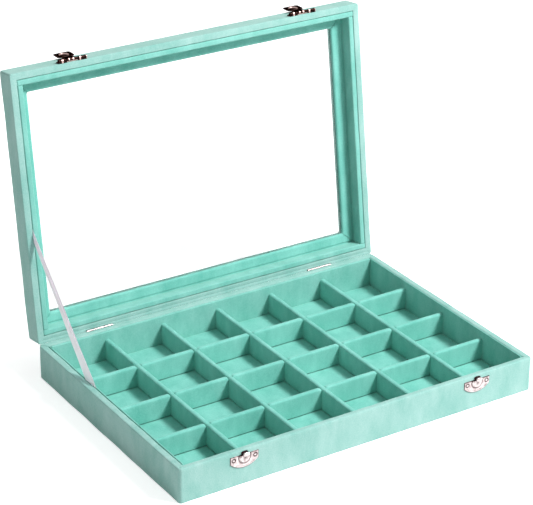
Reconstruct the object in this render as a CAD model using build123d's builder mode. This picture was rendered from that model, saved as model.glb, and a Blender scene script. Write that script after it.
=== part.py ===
from build123d import *
from math import asin, atan2, cos, degrees, hypot, pi, radians, sin
import os

# A shallow velvet-covered display tray with 24 compartments and a hinged, glazed lid.
# Millimetres. X runs left to right, Y from the front to the back, Z up.
# The origin is the middle of the tray's underside. The lid stands open on its ribbon stay.

# Overall size
case_width = 350.0
case_depth = 240.0
tray_height = 31.5
lid_height = 20.0
rim_gap = 0.3
lid_open_angle = 98.0

# Velvet-wrapped boards of the tray and the lid
board_thickness = 6.2
tray_corner_radius = 3.0
lid_corner_radius = 4.5
lid_face_radius = 2.5
tray_rim_radius = 1.5
lid_rim_radius = 1.2
seam_edge_radius = 0.6
front_inner_radius = 2.2
underside_bevel = 1.0

# Tray fittings
bottom_board_thickness = 3.0
floor_pad_thickness = 2.0
tray_side_liner = 1.6
tray_back_liner = 3.4
column_count = 6
row_count = 4
divider_thickness = 4.6
divider_drop = 7.0
divider_edge_bevel = 1.0
divider_fit = 0.1
tray_liner_edge = 0.7

# Lid fittings
lid_liner_thickness = 5.2
lid_liner_height = 11.8
lid_liner_edge = 0.9
face_frame_thickness = 3.5
glass_thickness = 2.0
glass_edge_clearance = 1.5
window_border = 21.5
window_shift = -1.6
window_corner_radius = 2.0
window_edge_bevel = 0.6

# Back hinges
hinge_end_inset = 59.5
hinge_width = 25.0
hinge_barrel_radius = 1.2
hinge_pin_radius = 0.6
pin_sides = 12
hinge_leaf_thickness = 0.7
hinge_leaf_length = 11.0
hinge_leaf_corner = 2.0
hinge_nail_spacing = 15.0
hinge_nail_reach = 6.8
knuckle_gap = 0.3
running_clearance = 0.05

# Clasps on the lid's front edge and catches on the tray's front
clasp_end_inset = 59.5
clasp_width = 27.0
clasp_sheet = 0.6
clasp_axis_height = 1.6
clasp_axis_out = 2.05
clasp_barrel_radius = 1.3
clasp_pin_radius = 0.55
clasp_plate_height = 12.0
clasp_plate_end = 5.5
clasp_rest_gap = 0.3
hasp_neck_width = 10.4
hasp_wide_width = 15.8
hasp_shoulder = 10.0
hasp_length = 21.0
hasp_corner_radius = 2.0
hasp_dome_centre = 15.2
hasp_dome_radius = 4.4
hasp_dome_depth = 2.2
hasp_window_length = 3.8
knob_side_clearance = 0.4
knob_width = 6.0
knob_height = 3.0
knob_reach = 4.4
catch_knob_drop = 2.5
catch_top_drop = 4.0
catch_width = 26.5
catch_height = 12.0
catch_end = 6.5
catch_boss_radius = 5.0
catch_boss_height = 1.2
clasp_nail_spacing = 20.0
clasp_nail_rise = 6.2
catch_nail_drop = 3.2

# Nails
nail_shank_radius = 0.5
nail_shank_length = 5.0
nail_head_radius = 1.25
nail_head_height = 0.7
nail_shank_sides = 6
nail_head_sides = 8
hasp_dome_sides = 16

# Ribbon stay in the left seam
ribbon_thickness = 0.4
ribbon_play = 0.1
ribbon_tray_width = 15.2
ribbon_lid_width = 7.5
ribbon_tray_place = 37.5
ribbon_lid_place = 96.0
ribbon_tuck = 7.0

# Worked out from the sizes above
half_width = case_width / 2
half_depth = case_depth / 2
hinge_offset = half_width - hinge_end_inset
clasp_offset = half_width - clasp_end_inset
inner_half_width = half_width - board_thickness
inner_half_depth = half_depth - board_thickness
floor_top = bottom_board_thickness + floor_pad_thickness
compartment_half_width = inner_half_width - tray_side_liner
compartment_back = inner_half_depth - tray_back_liner
compartment_front = -inner_half_depth
divider_top = tray_height - divider_drop

# The hinge axis lies in the middle of the seam between tray and lid, in line with their
# back faces. The open lid has its own plane: its origin is the middle of the lid's rim,
# its Y runs towards the hinges and its Z from the rim to the lid's outer face.
rim_above_axis = rim_gap / 2
hinge_y = half_depth
hinge_z = tray_height + rim_above_axis
open_sin = sin(radians(lid_open_angle))
open_cos = cos(radians(lid_open_angle))
lid_origin = (
    0,
    hinge_y + rim_above_axis * open_sin - hinge_y * open_cos,
    hinge_z + rim_above_axis * open_cos + hinge_y * open_sin,
)
lid_plane = Plane(origin=lid_origin, x_dir=(1, 0, 0), z_dir=(0, open_sin, open_cos))
tray_plane = Plane.XY

os.makedirs("parts", exist_ok=True)


def save(piece, label):
    piece.part.label = label
    export_step(piece.part, "parts/" + label + ".step")


def up_axis(plane):
    return Axis(plane.origin, plane.z_dir)


def local_point(plane, x, y, z):
    return plane.from_local_coords(Vector(x, y, z))


def local_plane(plane, point, x_dir, z_dir):
    """A plane whose origin and directions are given in another plane's own coordinates."""
    origin = local_point(plane, *point)
    across = local_point(plane, *x_dir) - plane.origin
    outward = local_point(plane, *z_dir) - plane.origin
    return Plane(origin=origin, x_dir=across, z_dir=outward)


# Outer boards. Each frame is a rounded ring with its long edges softened by the velvet,
# cut into four boards by mitres through its corners.

def mitre_outline(side, margin=1.0):
    """Corners of the trapezium that holds one board, with 45 degree ends through the corners."""
    reach = board_thickness + margin
    out_x, out_y = half_width + margin, half_depth + margin
    in_x, in_y = half_width - reach, half_depth - reach
    if side in ("front", "back"):
        points = [(-out_x, -out_y), (out_x, -out_y), (in_x, -in_y), (-in_x, -in_y)]
        turn = 1 if side == "front" else -1
        return [(turn * x, turn * y) for x, y in points]
    points = [(-out_x, out_y), (-out_x, -out_y), (-in_x, -in_y), (-in_x, in_y)]
    turn = 1 if side == "left" else -1
    return [(turn * x, turn * y) for x, y in points]


def frame_board(plane, side, height, corner_radius, low_edge, high_edge, seam_low, seam_radius,
                nail_holes=(), hole_depth=0, hinge_notches=()):
    up = up_axis(plane)
    soften = fillet if seam_low else chamfer
    with BuildPart() as board:
        with BuildSketch(plane):
            RectangleRounded(case_width, case_depth, corner_radius)
            Rectangle(2 * inner_half_width, 2 * inner_half_depth, mode=Mode.SUBTRACT)
        extrude(amount=height)
        fillet(board.faces().sort_by(up)[-1].outer_wire().edges(), high_edge)
        soften(board.faces().sort_by(up)[0].outer_wire().edges(), low_edge)
        seam_face = board.faces().sort_by(up)[0 if seam_low else -1]
        fillet(seam_face.inner_wires()[0].edges(), seam_radius)
        with BuildSketch(plane):
            Polygon(*mitre_outline(side), align=None)
        extrude(amount=height, mode=Mode.INTERSECT)
        for place in hinge_notches:
            with BuildSketch(Plane.YZ.offset(place - hinge_notch_length / 2)):
                with Locations((hinge_y, hinge_z)):
                    Circle(hinge_barrel_radius + knuckle_gap)
            extrude(amount=hinge_notch_length, mode=Mode.SUBTRACT)
        for hole in nail_holes:
            with BuildSketch(hole):
                RegularPolygon(nail_shank_radius, nail_shank_sides)
            extrude(amount=-hole_depth, mode=Mode.SUBTRACT)
    return board


def nail_plane(plane, x, y, z, outward):
    """Where a nail enters: its origin on the board's face, its Z out of the board."""
    return local_plane(plane, (x, y, z), (1, 0, 0), (0, outward, 0))


def hinge_nail_planes(plane, height, outward_lift):
    planes = []
    for side in (-1, 1):
        for end in (-1, 1):
            x = side * hinge_offset + end * hinge_nail_spacing / 2
            planes.append(nail_plane(plane, x, half_depth + outward_lift, height, 1))
    return planes


def clasp_nail_planes(plane, height, outward_lift):
    planes = []
    for side in (-1, 1):
        for end in (-1, 1):
            x = side * clasp_offset + end * clasp_nail_spacing / 2
            planes.append(nail_plane(plane, x, -half_depth - outward_lift, height, -1))
    return planes


tray_hinge_nail_height = hinge_z - hinge_nail_reach
lid_hinge_nail_height = hinge_nail_reach - rim_above_axis
clasp_nail_height = clasp_axis_height - clasp_barrel_radius + clasp_nail_rise
catch_top = tray_height - catch_top_drop
catch_nail_height = catch_top - catch_nail_drop

hinge_hole_depth = nail_shank_length - hinge_leaf_thickness
clasp_hole_depth = nail_shank_length - clasp_sheet
hinge_notch_length = hinge_width + 2 * hinge_barrel_radius
hinge_places = (-hinge_offset, hinge_offset)
tray_nail_holes = {
    "front": (clasp_nail_planes(tray_plane, catch_nail_height, 0), clasp_hole_depth),
    "back": (hinge_nail_planes(tray_plane, tray_hinge_nail_height, 0), hinge_hole_depth,
             hinge_places),
}
lid_nail_holes = {
    "front": (clasp_nail_planes(lid_plane, clasp_nail_height, 0), clasp_hole_depth),
    "back": (hinge_nail_planes(lid_plane, lid_hinge_nail_height, 0), hinge_hole_depth,
             hinge_places),
}

# The tray's front wall has no liner, so the velvet rounds its inner edge too.
for side in ("front", "back", "left", "right"):
    inner_radius = front_inner_radius if side == "front" else seam_edge_radius
    tray_wall = frame_board(
        tray_plane, side, tray_height, tray_corner_radius, underside_bevel, tray_rim_radius,
        False, inner_radius, *tray_nail_holes.get(side, ()))
    save(tray_wall, "tray_" + side + "_wall")
    lid_rail = frame_board(
        lid_plane, side, lid_height, lid_corner_radius, lid_rim_radius, lid_face_radius,
        True, seam_edge_radius, *lid_nail_holes.get(side, ()))
    save(lid_rail, "lid_" + side + "_rail")

# The tray's bottom board fits between the walls and is flush with their undersides.
with BuildPart() as bottom_board:
    with BuildSketch(tray_plane):
        Rectangle(2 * inner_half_width, 2 * inner_half_depth)
    extrude(amount=bottom_board_thickness)
save(bottom_board, "tray_bottom_board")

# The velvet floor pad lies on the bottom board, inside the liner strips.
compartment_depth = compartment_back - compartment_front
compartment_middle = (compartment_back + compartment_front) / 2
with BuildPart() as floor_pad:
    with BuildSketch(tray_plane.offset(bottom_board_thickness)):
        with Locations((0, compartment_middle)):
            Rectangle(2 * compartment_half_width, compartment_depth)
    extrude(amount=floor_pad_thickness)
save(floor_pad, "tray_floor_pad")

# The ribbon's two ends are tucked between the left boards and the left liner strips.
# They are drawn on the seam's plane, in the case's own Y and Z.
seam_x = -inner_half_width
ribbon_x = seam_x + ribbon_play
tray_end = Vector(0, ribbon_tray_place, tray_height)
lid_end = local_point(lid_plane, 0, half_depth - ribbon_lid_place, 0)
ribbon_run = lid_end - tray_end
ribbon_angle = degrees(atan2(ribbon_run.Z, ribbon_run.Y))
ribbon_length = hypot(ribbon_run.Y, ribbon_run.Z)
ribbon_plane = Plane(
    origin=(ribbon_x, tray_end.Y, tray_end.Z),
    x_dir=(0, cos(radians(ribbon_angle)), sin(radians(ribbon_angle))),
    z_dir=(1, 0, 0))
print("ribbon stay: free length", round(ribbon_length, 1), "mm, tucked",
      round(ribbon_tuck, 1), "mm at each end")


def ribbon_outline(spread, extra):
    """The ribbon's tapered outline with its tucked ends, widened all round by spread."""
    growth = (ribbon_lid_width - ribbon_tray_width) / ribbon_length
    start, end = -ribbon_tuck - extra, ribbon_length + ribbon_tuck + extra
    low = (ribbon_tray_width + growth * start) / 2 + spread
    high = (ribbon_tray_width + growth * end) / 2 + spread
    return [(start, -low), (end, -high), (end, high), (start, low)]


with BuildPart() as ribbon_pocket:
    with BuildSketch(ribbon_plane.offset(-2 * ribbon_play)):
        Polygon(*ribbon_outline(ribbon_play, ribbon_play), align=None)
    extrude(amount=ribbon_thickness + 3 * ribbon_play)

with BuildPart() as ribbon:
    with BuildSketch(ribbon_plane):
        Polygon(*ribbon_outline(0, 0), align=None)
    extrude(amount=ribbon_thickness)
save(ribbon, "ribbon_stay")

# Tray liner strips stand on the bottom board inside the left, right and back walls.
liner_height = tray_height - bottom_board_thickness
side_liner_x = inner_half_width - tray_side_liner / 2
tray_liners = {
    "left": (-side_liner_x, 0, tray_side_liner, 2 * inner_half_depth),
    "right": (side_liner_x, 0, tray_side_liner, 2 * inner_half_depth),
    "back": (0, inner_half_depth - tray_back_liner / 2,
             2 * compartment_half_width, tray_back_liner),
}
for side, (x, y, length_x, length_y) in tray_liners.items():
    long_way = Axis.X if side == "back" else Axis.Y
    with BuildPart() as tray_liner:
        with BuildSketch(tray_plane.offset(bottom_board_thickness)):
            with Locations((x, y)):
                Rectangle(length_x, length_y)
        extrude(amount=liner_height)
        top_edges = tray_liner.edges().filter_by(long_way).group_by(Axis.Z)[-1]
        fillet(top_edges, tray_liner_edge)
        if side == "left":
            add(ribbon_pocket.part, mode=Mode.SUBTRACT)
    save(tray_liner, "tray_" + side + "_liner")

# Dividers: the rows run the whole width and are slotted from above, the columns run from
# the front to the back and are slotted from below, so that each pair laps by half its height.
compartment_width = 2 * compartment_half_width
clear_width = (compartment_width - (column_count - 1) * divider_thickness) / column_count
clear_depth = (compartment_depth - (row_count - 1) * divider_thickness) / row_count
column_pitch = clear_width + divider_thickness
row_pitch = clear_depth + divider_thickness
column_places = [(i - (column_count - 2) / 2) * column_pitch for i in range(column_count - 1)]
row_places = [compartment_middle + (i - (row_count - 2) / 2) * row_pitch
              for i in range(row_count - 1)]
divider_height = divider_top - floor_top
lap_height = divider_height / 2
slot_width = divider_thickness + 2 * divider_fit

for number, place in enumerate(column_places, 1):
    with BuildPart() as column_divider:
        with BuildSketch(tray_plane.offset(floor_top)):
            with Locations((place, compartment_middle)):
                Rectangle(divider_thickness, compartment_depth - 2 * divider_fit)
        extrude(amount=divider_height)
        chamfer(column_divider.edges().filter_by(Axis.Y).group_by(Axis.Z)[-1], divider_edge_bevel)
        with BuildSketch(tray_plane.offset(floor_top)):
            with Locations(*[(place, row) for row in row_places]):
                Rectangle(2 * divider_thickness, slot_width)
        extrude(amount=lap_height, mode=Mode.SUBTRACT)
    save(column_divider, "column_divider_" + str(number))

for number, place in enumerate(row_places, 1):
    with BuildPart() as row_divider:
        with BuildSketch(tray_plane.offset(floor_top)):
            with Locations((0, place)):
                Rectangle(compartment_width - 2 * divider_fit, divider_thickness)
        extrude(amount=divider_height)
        chamfer(row_divider.edges().filter_by(Axis.X).group_by(Axis.Z)[-1], divider_edge_bevel)
        with BuildSketch(tray_plane.offset(floor_top + lap_height)):
            with Locations(*[(column, place) for column in column_places]):
                Rectangle(slot_width, 2 * divider_thickness)
        extrude(amount=divider_height, mode=Mode.SUBTRACT)
    save(row_divider, "row_divider_" + str(number))

# Inside the lid, from the outer face down: face frame, glass, retaining frame, liner strips.
glass_low = lid_height - face_frame_thickness - glass_thickness
retaining_thickness = glass_low - lid_liner_height
window_width = case_width - 2 * window_border
window_depth = case_depth - 2 * window_border


def window_frame(low, thickness, softened_face):
    """A flat frame; the window's edge is softened on its first (0) or last (-1) face."""
    with BuildPart() as frame:
        with BuildSketch(lid_plane.offset(low)):
            Rectangle(2 * inner_half_width, 2 * inner_half_depth)
            with Locations((window_shift, 0)):
                RectangleRounded(window_width, window_depth, window_corner_radius,
                                 mode=Mode.SUBTRACT)
        extrude(amount=thickness)
        seen_face = frame.faces().sort_by(up_axis(lid_plane))[softened_face]
        chamfer(seen_face.inner_wires()[0].edges(), window_edge_bevel)
    return frame


save(window_frame(lid_height - face_frame_thickness, face_frame_thickness, -1), "lid_face_frame")
save(window_frame(lid_liner_height, retaining_thickness, 0), "glass_retaining_frame")

with BuildPart() as glass_pane:
    with BuildSketch(lid_plane.offset(glass_low)):
        Rectangle(2 * (inner_half_width - glass_edge_clearance),
                  2 * (inner_half_depth - glass_edge_clearance))
    extrude(amount=glass_thickness)
save(glass_pane, "glass_pane")

# Lid liner strips: front and back run the whole width, the side strips butt between them.
lid_side_x = inner_half_width - lid_liner_thickness / 2
lid_end_y = inner_half_depth - lid_liner_thickness / 2
side_strip_length = 2 * (inner_half_depth - lid_liner_thickness)
lid_liners = {
    "front": (0, -lid_end_y, 2 * inner_half_width, lid_liner_thickness),
    "back": (0, lid_end_y, 2 * inner_half_width, lid_liner_thickness),
    "left": (-lid_side_x, 0, lid_liner_thickness, side_strip_length),
    "right": (lid_side_x, 0, lid_liner_thickness, side_strip_length),
}
for side, (x, y, length_x, length_y) in lid_liners.items():
    long_way = lid_plane.x_dir if side in ("front", "back") else lid_plane.y_dir
    with BuildPart() as lid_liner:
        with BuildSketch(lid_plane):
            with Locations((x, y)):
                Rectangle(length_x, length_y)
        extrude(amount=lid_liner_height)
        long_edges = lid_liner.edges().filter_by(Axis(lid_plane.origin, long_way))
        fillet(long_edges.group_by(up_axis(lid_plane))[0], lid_liner_edge)
        if side == "left":
            add(ribbon_pocket.part, mode=Mode.SUBTRACT)
    save(lid_liner, "lid_" + side + "_liner")

# Hinges. A leaf's profile lies square to the axis: X is out of the case's back face and Y runs
# along that face, away from the axis. The middle knuckle is the lid's, the outer two the tray's.
knuckle_length = (hinge_width - 2 * knuckle_gap) / 3
middle_gap_length = knuckle_length + 2 * knuckle_gap


def pin_section(radius):
    """A fine pin's section, and its tight bore's, with small flats all round."""
    with BuildSketch() as section:
        RegularPolygon(radius, pin_sides)
    return section.sketch


def running_bore(pin_radius):
    with BuildSketch() as section:
        Circle(pin_radius + running_clearance)
    return section.sketch


def hinge_leaf(profile_plane, cleared_spans, bore, nail_planes):
    """One leaf: a sheet and a barrel, with the other leaf's knuckle spans cleared away."""
    with BuildPart() as leaf:
        with BuildSketch(profile_plane.offset(-hinge_width / 2)):
            with Locations((hinge_leaf_thickness / 2, hinge_leaf_length / 2)):
                Rectangle(hinge_leaf_thickness, hinge_leaf_length)
            Circle(hinge_barrel_radius)
        extrude(amount=hinge_width)
        far_edges = leaf.edges().filter_by(Axis(profile_plane.origin, profile_plane.x_dir))
        along = Axis(profile_plane.origin, profile_plane.y_dir)
        fillet(far_edges.group_by(along)[-1], hinge_leaf_corner)
        for start, length in cleared_spans:
            with BuildSketch(profile_plane.offset(start)):
                Circle(hinge_barrel_radius + knuckle_gap)
            extrude(amount=length, mode=Mode.SUBTRACT)
        with BuildSketch(profile_plane.offset(-hinge_width / 2)):
            add(bore)
        extrude(amount=hinge_width, mode=Mode.SUBTRACT)
        for hole in nail_planes:
            with BuildSketch(hole):
                RegularPolygon(nail_shank_radius, nail_shank_sides)
            extrude(amount=-2 * hinge_leaf_thickness, mode=Mode.SUBTRACT)
    return leaf


def near(planes, x):
    return [plane for plane in planes if abs(plane.origin.X - x) < hinge_width]


middle_span = [(-middle_gap_length / 2, middle_gap_length)]
outer_spans = [(-hinge_width / 2 - knuckle_gap, knuckle_length + 2 * knuckle_gap),
               (hinge_width / 2 - knuckle_length - knuckle_gap, knuckle_length + 2 * knuckle_gap)]
tray_nails = hinge_nail_planes(tray_plane, tray_hinge_nail_height, hinge_leaf_thickness)
lid_nails = hinge_nail_planes(lid_plane, lid_hinge_nail_height, hinge_leaf_thickness)

for side, place in (("left", -hinge_offset), ("right", hinge_offset)):
    axis_point = (place, hinge_y, hinge_z)
    tray_profile = Plane(origin=axis_point, x_dir=(0, 1, 0), z_dir=(-1, 0, 0))
    lid_profile = Plane(origin=axis_point, x_dir=lid_plane.y_dir, z_dir=(1, 0, 0))
    tray_leaf = hinge_leaf(tray_profile, middle_span, pin_section(hinge_pin_radius),
                           near(tray_nails, place))
    save(tray_leaf, side + "_hinge_tray_leaf")
    lid_leaf = hinge_leaf(lid_profile, outer_spans, running_bore(hinge_pin_radius),
                          near(lid_nails, place))
    save(lid_leaf, side + "_hinge_lid_leaf")
    with BuildPart() as hinge_pin:
        with BuildSketch(tray_profile.offset(-hinge_width / 2)):
            add(pin_section(hinge_pin_radius))
        extrude(amount=hinge_width)
    save(hinge_pin, side + "_hinge_pin")


def faceted_dome(plane, radius, height, sides, steps):
    """A shallow ball-shaped dome standing on a plane, in rings of small flats."""
    ball = (radius ** 2 + height ** 2) / (2 * height)
    spread = asin(radius / ball)
    around = [(cos(2 * pi * i / sides), sin(2 * pi * i / sides)) for i in range(sides)]
    rings = []
    for step in range(steps + 1):
        turn = spread * (1 - 0.9 * step / steps)
        width, level = ball * sin(turn), height - ball + ball * cos(turn)
        rings.append([local_point(plane, width * x, width * y, level) for x, y in around])
    outlines = [rings[0], rings[-1]]
    for low, high in zip(rings[:-1], rings[1:]):
        outlines += [[low[i - 1], low[i], high[i], high[i - 1]] for i in range(sides)]
    return Solid(Shell([Face(Wire.make_polygon(outline)) for outline in outlines]))


# Nails: domed head, wire shank and a short point, driven through each plate into its board.

def nail_group(planes, label):
    heads = [faceted_dome(plane, nail_head_radius, nail_head_height, nail_head_sides, 2)
             for plane in planes]
    with BuildPart() as nails:
        for plane, head in zip(planes, heads):
            add(head)
            with BuildSketch(plane):
                RegularPolygon(nail_shank_radius, nail_shank_sides)
            extrude(amount=-nail_shank_length)
            tip_edges = nails.faces().sort_by_distance(local_point(
                plane, 0, 0, -nail_shank_length))[0].edges()
            chamfer(tip_edges, nail_shank_radius / 2)
    save(nails, label)


nail_group(tray_nails, "tray_hinge_nails")
nail_group(lid_nails, "lid_hinge_nails")
nail_group(clasp_nail_planes(tray_plane, catch_nail_height, clasp_sheet), "catch_nails")
nail_group(clasp_nail_planes(lid_plane, clasp_nail_height, clasp_sheet), "clasp_nails")


# Clasps. Each plate is a half moon: straight along the lid's rim, rounded towards its outer face.

def half_moon(width, straight_end, height):
    """Outline with its straight edge on Y = 0, short square ends, and an arc at the top."""
    with BuildSketch() as outline:
        with BuildLine():
            arc = ThreePointArc((width / 2, straight_end), (0, height), (-width / 2, straight_end))
            Polyline(arc @ 1, (-width / 2, 0), (width / 2, 0), arc @ 0)
        make_face()
    return outline.sketch


plate_low = clasp_axis_height - clasp_barrel_radius
clasp_knuckle = hasp_neck_width + 2 * knuckle_gap

# The folded-back leaf leans on its dome: the dome's crown clears the board by the rest gap.
dome_crown = clasp_barrel_radius + hasp_dome_depth
crown_rise = dome_crown - (clasp_axis_out - clasp_rest_gap)
hasp_rest_angle = degrees(asin(crown_rise / hypot(hasp_dome_centre, dome_crown)))
hasp_swing = 180 - hasp_rest_angle
knob_middle = tray_height - catch_knob_drop
hasp_window_centre = tray_height + rim_gap + clasp_axis_height - knob_middle
print("hasp leaf: leans", round(hasp_rest_angle, 2), "degrees, closes by", round(hasp_swing, 2))
print("lid hinge axis:", round(hinge_y, 3), round(hinge_z, 3), " lid plane:", lid_plane.origin)

for side, place in (("left", -clasp_offset), ("right", clasp_offset)):
    face = local_plane(lid_plane, (place, -half_depth, plate_low), (1, 0, 0), (0, -1, 0))
    axis_point = local_point(lid_plane, place, -half_depth - clasp_axis_out, clasp_axis_height)
    print(side, "clasp axis:", axis_point)
    profile = Plane(origin=axis_point, x_dir=-lid_plane.y_dir, z_dir=(-1, 0, 0))
    with BuildPart() as clasp_plate:
        with BuildSketch(face):
            add(half_moon(clasp_width, clasp_plate_end, clasp_plate_height))
        extrude(amount=clasp_sheet)
        with BuildSketch(profile.offset(-clasp_width / 2)):
            Circle(clasp_barrel_radius)
            with Locations((-clasp_axis_out / 2, -clasp_barrel_radius / 2)):
                Rectangle(clasp_axis_out, clasp_barrel_radius)
        extrude(amount=clasp_width)
        with BuildSketch(profile.offset(-clasp_knuckle / 2)):
            Circle(clasp_barrel_radius + knuckle_gap)
            with Locations((-clasp_axis_out / 2, -clasp_barrel_radius)):
                Rectangle(clasp_axis_out, 2 * clasp_barrel_radius)
        extrude(amount=clasp_knuckle, mode=Mode.SUBTRACT)
        with BuildSketch(profile.offset(-clasp_width / 2)):
            add(pin_section(clasp_pin_radius))
        extrude(amount=clasp_width, mode=Mode.SUBTRACT)
        plate_nails = clasp_nail_planes(lid_plane, clasp_nail_height, clasp_sheet)
        for hole in near(plate_nails, place):
            with BuildSketch(hole):
                RegularPolygon(nail_shank_radius, nail_shank_sides)
            extrude(amount=-2 * clasp_sheet, mode=Mode.SUBTRACT)
    save(clasp_plate, side + "_clasp_plate")

    with BuildPart() as clasp_pin:
        with BuildSketch(profile.offset(-clasp_width / 2)):
            add(pin_section(clasp_pin_radius))
        extrude(amount=clasp_width)
    save(clasp_pin, side + "_clasp_pin")

    # The leaf's own plane: X along its pin, Y towards its tip, Z to its inner side.
    lean = radians(hasp_rest_angle)
    leaf_way = lid_plane.z_dir * cos(lean) - lid_plane.y_dir * sin(lean)
    leaf_plane = Plane(origin=axis_point, x_dir=(1, 0, 0),
                       z_dir=Vector(1, 0, 0).cross(leaf_way))
    outer_side = leaf_plane.offset(-clasp_barrel_radius)
    dome_middle = outer_side.from_local_coords(Vector(0, hasp_dome_centre, 0))
    dome_plane = Plane(dome_middle, x_dir=(1, 0, 0), z_dir=-leaf_plane.z_dir)
    dome = faceted_dome(dome_plane, hasp_dome_radius, hasp_dome_depth, hasp_dome_sides, 3)
    hollow = faceted_dome(dome_plane.offset(-clasp_sheet), hasp_dome_radius - clasp_sheet,
                          hasp_dome_depth, hasp_dome_sides, 3)
    with BuildPart() as hasp_leaf:
        with BuildSketch(outer_side):
            with Locations((0, hasp_shoulder / 2)):
                Rectangle(hasp_neck_width, hasp_shoulder)
            with Locations((0, (hasp_shoulder + hasp_length) / 2)):
                RectangleRounded(hasp_wide_width, hasp_length - hasp_shoulder, hasp_corner_radius)
            with Locations((0, hasp_window_centre)):
                Rectangle(knob_width + 2 * knob_side_clearance, hasp_window_length,
                          mode=Mode.SUBTRACT)
        extrude(amount=clasp_sheet)
        add(dome)
        add(hollow, mode=Mode.SUBTRACT)
        with BuildSketch(profile.offset(-hasp_neck_width / 2)):
            Circle(clasp_barrel_radius)
        extrude(amount=hasp_neck_width)
        with BuildSketch(profile.offset(-hasp_neck_width / 2)):
            add(running_bore(clasp_pin_radius))
        extrude(amount=hasp_neck_width, mode=Mode.SUBTRACT)
    save(hasp_leaf, side + "_hasp_leaf")

    # Catch on the tray's front: an upside-down half moon with a raised boss and a round knob.
    catch_face = Plane(origin=(place, -half_depth, catch_top), x_dir=(-1, 0, 0), z_dir=(0, -1, 0))
    knob_low = knob_middle - knob_height / 2 - catch_top
    with BuildPart() as catch_plate:
        with BuildSketch(catch_face):
            add(half_moon(catch_width, catch_end, catch_height))
        extrude(amount=clasp_sheet)
        with BuildSketch(catch_face.offset(clasp_sheet)):
            with Locations((0, catch_boss_radius / 2)):
                Circle(catch_boss_radius)
            with Locations((0, -catch_boss_radius)):
                Rectangle(4 * catch_boss_radius, 2 * catch_boss_radius, mode=Mode.SUBTRACT)
        extrude(amount=catch_boss_height, taper=15)
        with BuildSketch(catch_face):
            with Locations((0, -knob_low - knob_height / 2)):
                RectangleRounded(knob_width, knob_height, 0.45 * knob_height)
            with Locations((0, -knob_low / 2)):
                Rectangle(0.6 * knob_width, abs(knob_low) + knob_height)
        extrude(amount=clasp_sheet + catch_boss_height)
        with BuildSketch(catch_face.offset(clasp_sheet + catch_boss_height)):
            with Locations((0, -knob_low - knob_height / 2)):
                RectangleRounded(knob_width, knob_height, 0.45 * knob_height)
        extrude(amount=knob_reach - clasp_sheet - catch_boss_height)
        plate_nails = clasp_nail_planes(tray_plane, catch_nail_height, clasp_sheet)
        for hole in near(plate_nails, place):
            with BuildSketch(hole):
                RegularPolygon(nail_shank_radius, nail_shank_sides)
            extrude(amount=-2 * clasp_sheet, mode=Mode.SUBTRACT)
    save(catch_plate, side + "_catch_plate")
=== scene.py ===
import bpy
import numpy as np
from mathutils import Matrix, Vector


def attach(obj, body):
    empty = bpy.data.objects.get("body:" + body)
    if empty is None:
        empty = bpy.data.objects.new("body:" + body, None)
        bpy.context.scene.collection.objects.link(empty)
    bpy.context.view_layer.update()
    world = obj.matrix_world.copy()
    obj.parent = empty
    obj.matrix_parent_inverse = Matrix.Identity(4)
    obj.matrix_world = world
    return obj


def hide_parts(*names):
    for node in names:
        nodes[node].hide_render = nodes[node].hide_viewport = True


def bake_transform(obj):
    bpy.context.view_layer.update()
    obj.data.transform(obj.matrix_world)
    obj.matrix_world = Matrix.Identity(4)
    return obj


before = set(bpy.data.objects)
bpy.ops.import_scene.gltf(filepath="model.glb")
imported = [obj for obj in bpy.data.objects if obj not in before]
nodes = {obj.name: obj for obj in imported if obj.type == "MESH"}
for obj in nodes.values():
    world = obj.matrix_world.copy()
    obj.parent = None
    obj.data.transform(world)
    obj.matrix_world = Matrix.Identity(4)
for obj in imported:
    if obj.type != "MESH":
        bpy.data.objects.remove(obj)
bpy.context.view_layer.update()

# The view: the tray stands at an angle, seen from its front left corner and a little above,
# through a long lens. Place, way, roll and focal length were fitted to the photograph, which is
# 533 pixels wide.
camera_place = Vector((-0.8752, -1.3325, 0.8949))
camera_way = Vector((0.4866, 0.7578, -0.4347))
camera_roll = np.radians(0.59)
focal_pixels, picture_width, sensor_width = 2107.9, 533, 36


def aimed(place, way):
    """Turns a thing's own -Z along the way and its Y up, and then moves it to the place."""
    return Matrix.Translation(place) @ way.to_track_quat("-Z", "Y").to_matrix().to_4x4()


camera_data = bpy.data.cameras.new("studio_camera")
camera_data.sensor_width = sensor_width
camera_data.lens = focal_pixels * sensor_width / picture_width
camera = bpy.data.objects.new("studio_camera", camera_data)
bpy.context.scene.collection.objects.link(camera)
camera.matrix_world = aimed(camera_place, camera_way) @ Matrix.Rotation(camera_roll, 4, "Z")
bpy.context.scene.camera = camera
bpy.context.scene.view_settings.view_transform = "Standard"

# The tray's four walls: straight boards wrapped in short-pile sea-green velvet, mitred at the
# corners. The velvet turns softly over the rims, most of all inside the front wall, which has
# no liner. The back wall is let in for the hinges' barrels.
case_half_width, case_half_depth = 0.175, 0.120
board = 0.0062
tray_height, tray_corner = 0.0315, 0.003
hinge_axis = (0.120, 0.03165)
hinge_places = (-0.1155, 0.1155)
barrel_half, barrel_clear, barrel_blend = 0.0137, 0.0014, 0.0002
corner_points = 7


def new_finish(name):
    """An untouched material, with its node tree and its surface shader."""
    finish = bpy.data.materials.new(name)
    finish.use_nodes = True
    return finish, finish.node_tree, finish.node_tree.nodes["Principled BSDF"]


def add_noise(tree, scale, detail, roughness=0.5):
    """Cloudy noise with about that many clouds a metre. Each further layer of detail is twice
    as fine and roughness times as strong as the one before."""
    noise = tree.nodes.new("ShaderNodeTexNoise")
    noise.inputs["Scale"].default_value = scale
    noise.inputs["Detail"].default_value = detail
    noise.inputs["Roughness"].default_value = roughness
    return noise


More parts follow.
